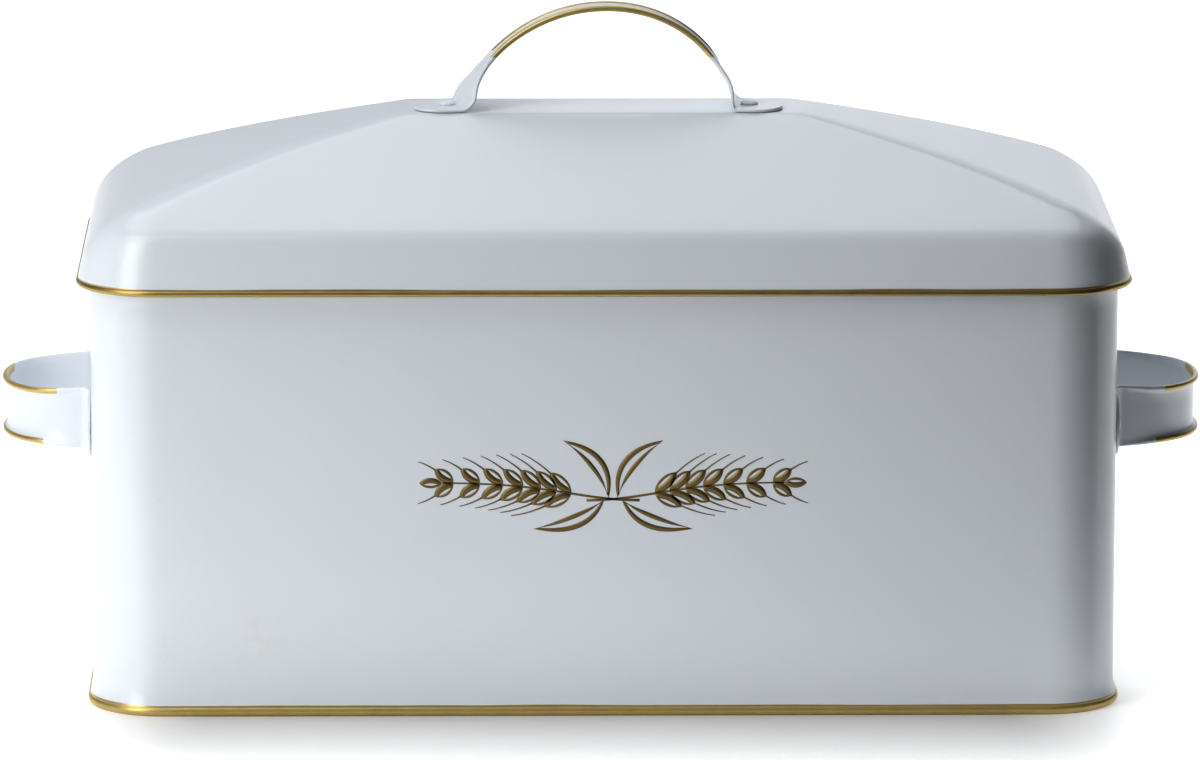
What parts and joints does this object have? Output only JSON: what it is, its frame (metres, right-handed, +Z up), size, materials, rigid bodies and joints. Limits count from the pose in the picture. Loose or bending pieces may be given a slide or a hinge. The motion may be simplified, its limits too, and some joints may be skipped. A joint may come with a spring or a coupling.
{
  "type": "bread bin",
  "caption": "White sheet-steel bread bin with a lift-off hipped lid, riveted strap handles on the lid and both ends, and gold-painted beads at the rim and base.",
  "frame": {"origin": "middle of the footprint, on the surface that the bin stands on", "axes": "+Z up, +X along the long side, -Y towards the front face"},
  "size_m": [0.414, 0.1678, 0.2322],
  "materials": {
    "white_enamel": "semi-gloss white enamel with a fine orange-peel",
    "gold_paint": "hand-painted metallic gold",
    "bare_steel": "plain zinc-plated steel"
  },
  "bodies": {
    "body": {"body_wall": "white_enamel", "floor_pan": "white_enamel", "base_bead": "gold_paint", "side_handle_left": "white_enamel", "side_handle_right": "white_enamel", "side_rivet_left_front": "white_enamel", "side_rivet_left_rear": "white_enamel", "side_rivet_right_front": "white_enamel", "side_rivet_right_rear": "white_enamel", "side_washer_left_front": "bare_steel", "side_washer_left_rear": "bare_steel", "side_washer_right_front": "bare_steel", "side_washer_right_rear": "bare_steel"},
    "lid": {"lid_shell": "white_enamel", "lid_rim_bead": "gold_paint", "top_handle": "white_enamel", "top_rivet_left": "white_enamel", "top_rivet_right": "white_enamel", "top_washer_left": "bare_steel", "top_washer_right": "bare_steel"}
  },
  "joints": [
    {"name": "lid_lift", "type": "slide", "parent": "body", "child": "lid", "axis": [0, 0, 1], "range_m": [0, 0.12]}
  ]
}
